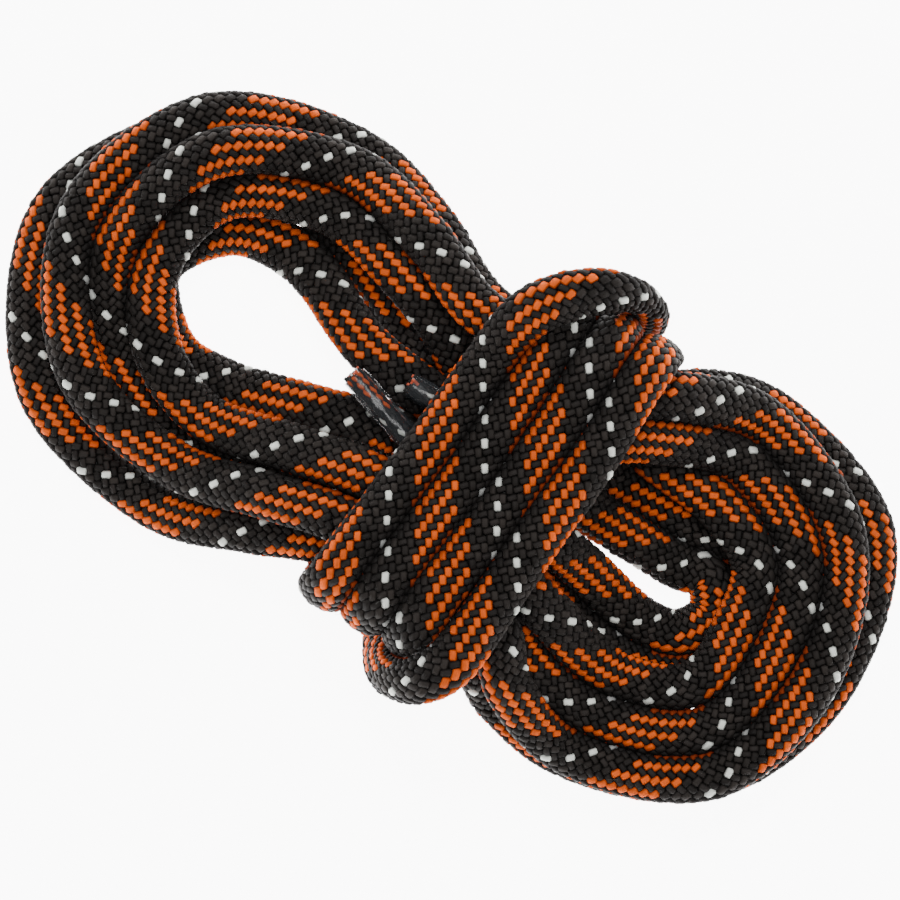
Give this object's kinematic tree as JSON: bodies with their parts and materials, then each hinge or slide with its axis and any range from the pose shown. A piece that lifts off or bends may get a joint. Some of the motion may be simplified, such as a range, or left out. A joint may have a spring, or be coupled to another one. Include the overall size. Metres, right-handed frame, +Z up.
{
  "type": "braided lace",
  "caption": "Flattened braided cord with a clear sleeve on each end, laid up as a figure-eight hank and bound with wraps at its waist.",
  "frame": {"origin": "the middle of the hank's box, on the plane that the hank lies on", "axes": "+X runs along the hank, +Y across it along the wraps, and +Z up, away from the plane that it lies on"},
  "size_m": [0.0962, 0.0476, 0.0164],
  "materials": {
    "braid": "matte polyester braid with a slight sheen",
    "tip_film": "clear glossy film"
  },
  "bodies": {
    "root": {"tip_sleeve_a": "tip_film", "squeezed_end_a": "braid", "tail_a": "braid", "inner_loops": "braid", "inner_wraps": "braid", "middle_loop": "braid", "outer_wraps": "braid", "outer_loops": "braid", "tail_b": "braid", "squeezed_end_b": "braid", "tip_sleeve_b": "tip_film"}
  },
  "joints": []
}
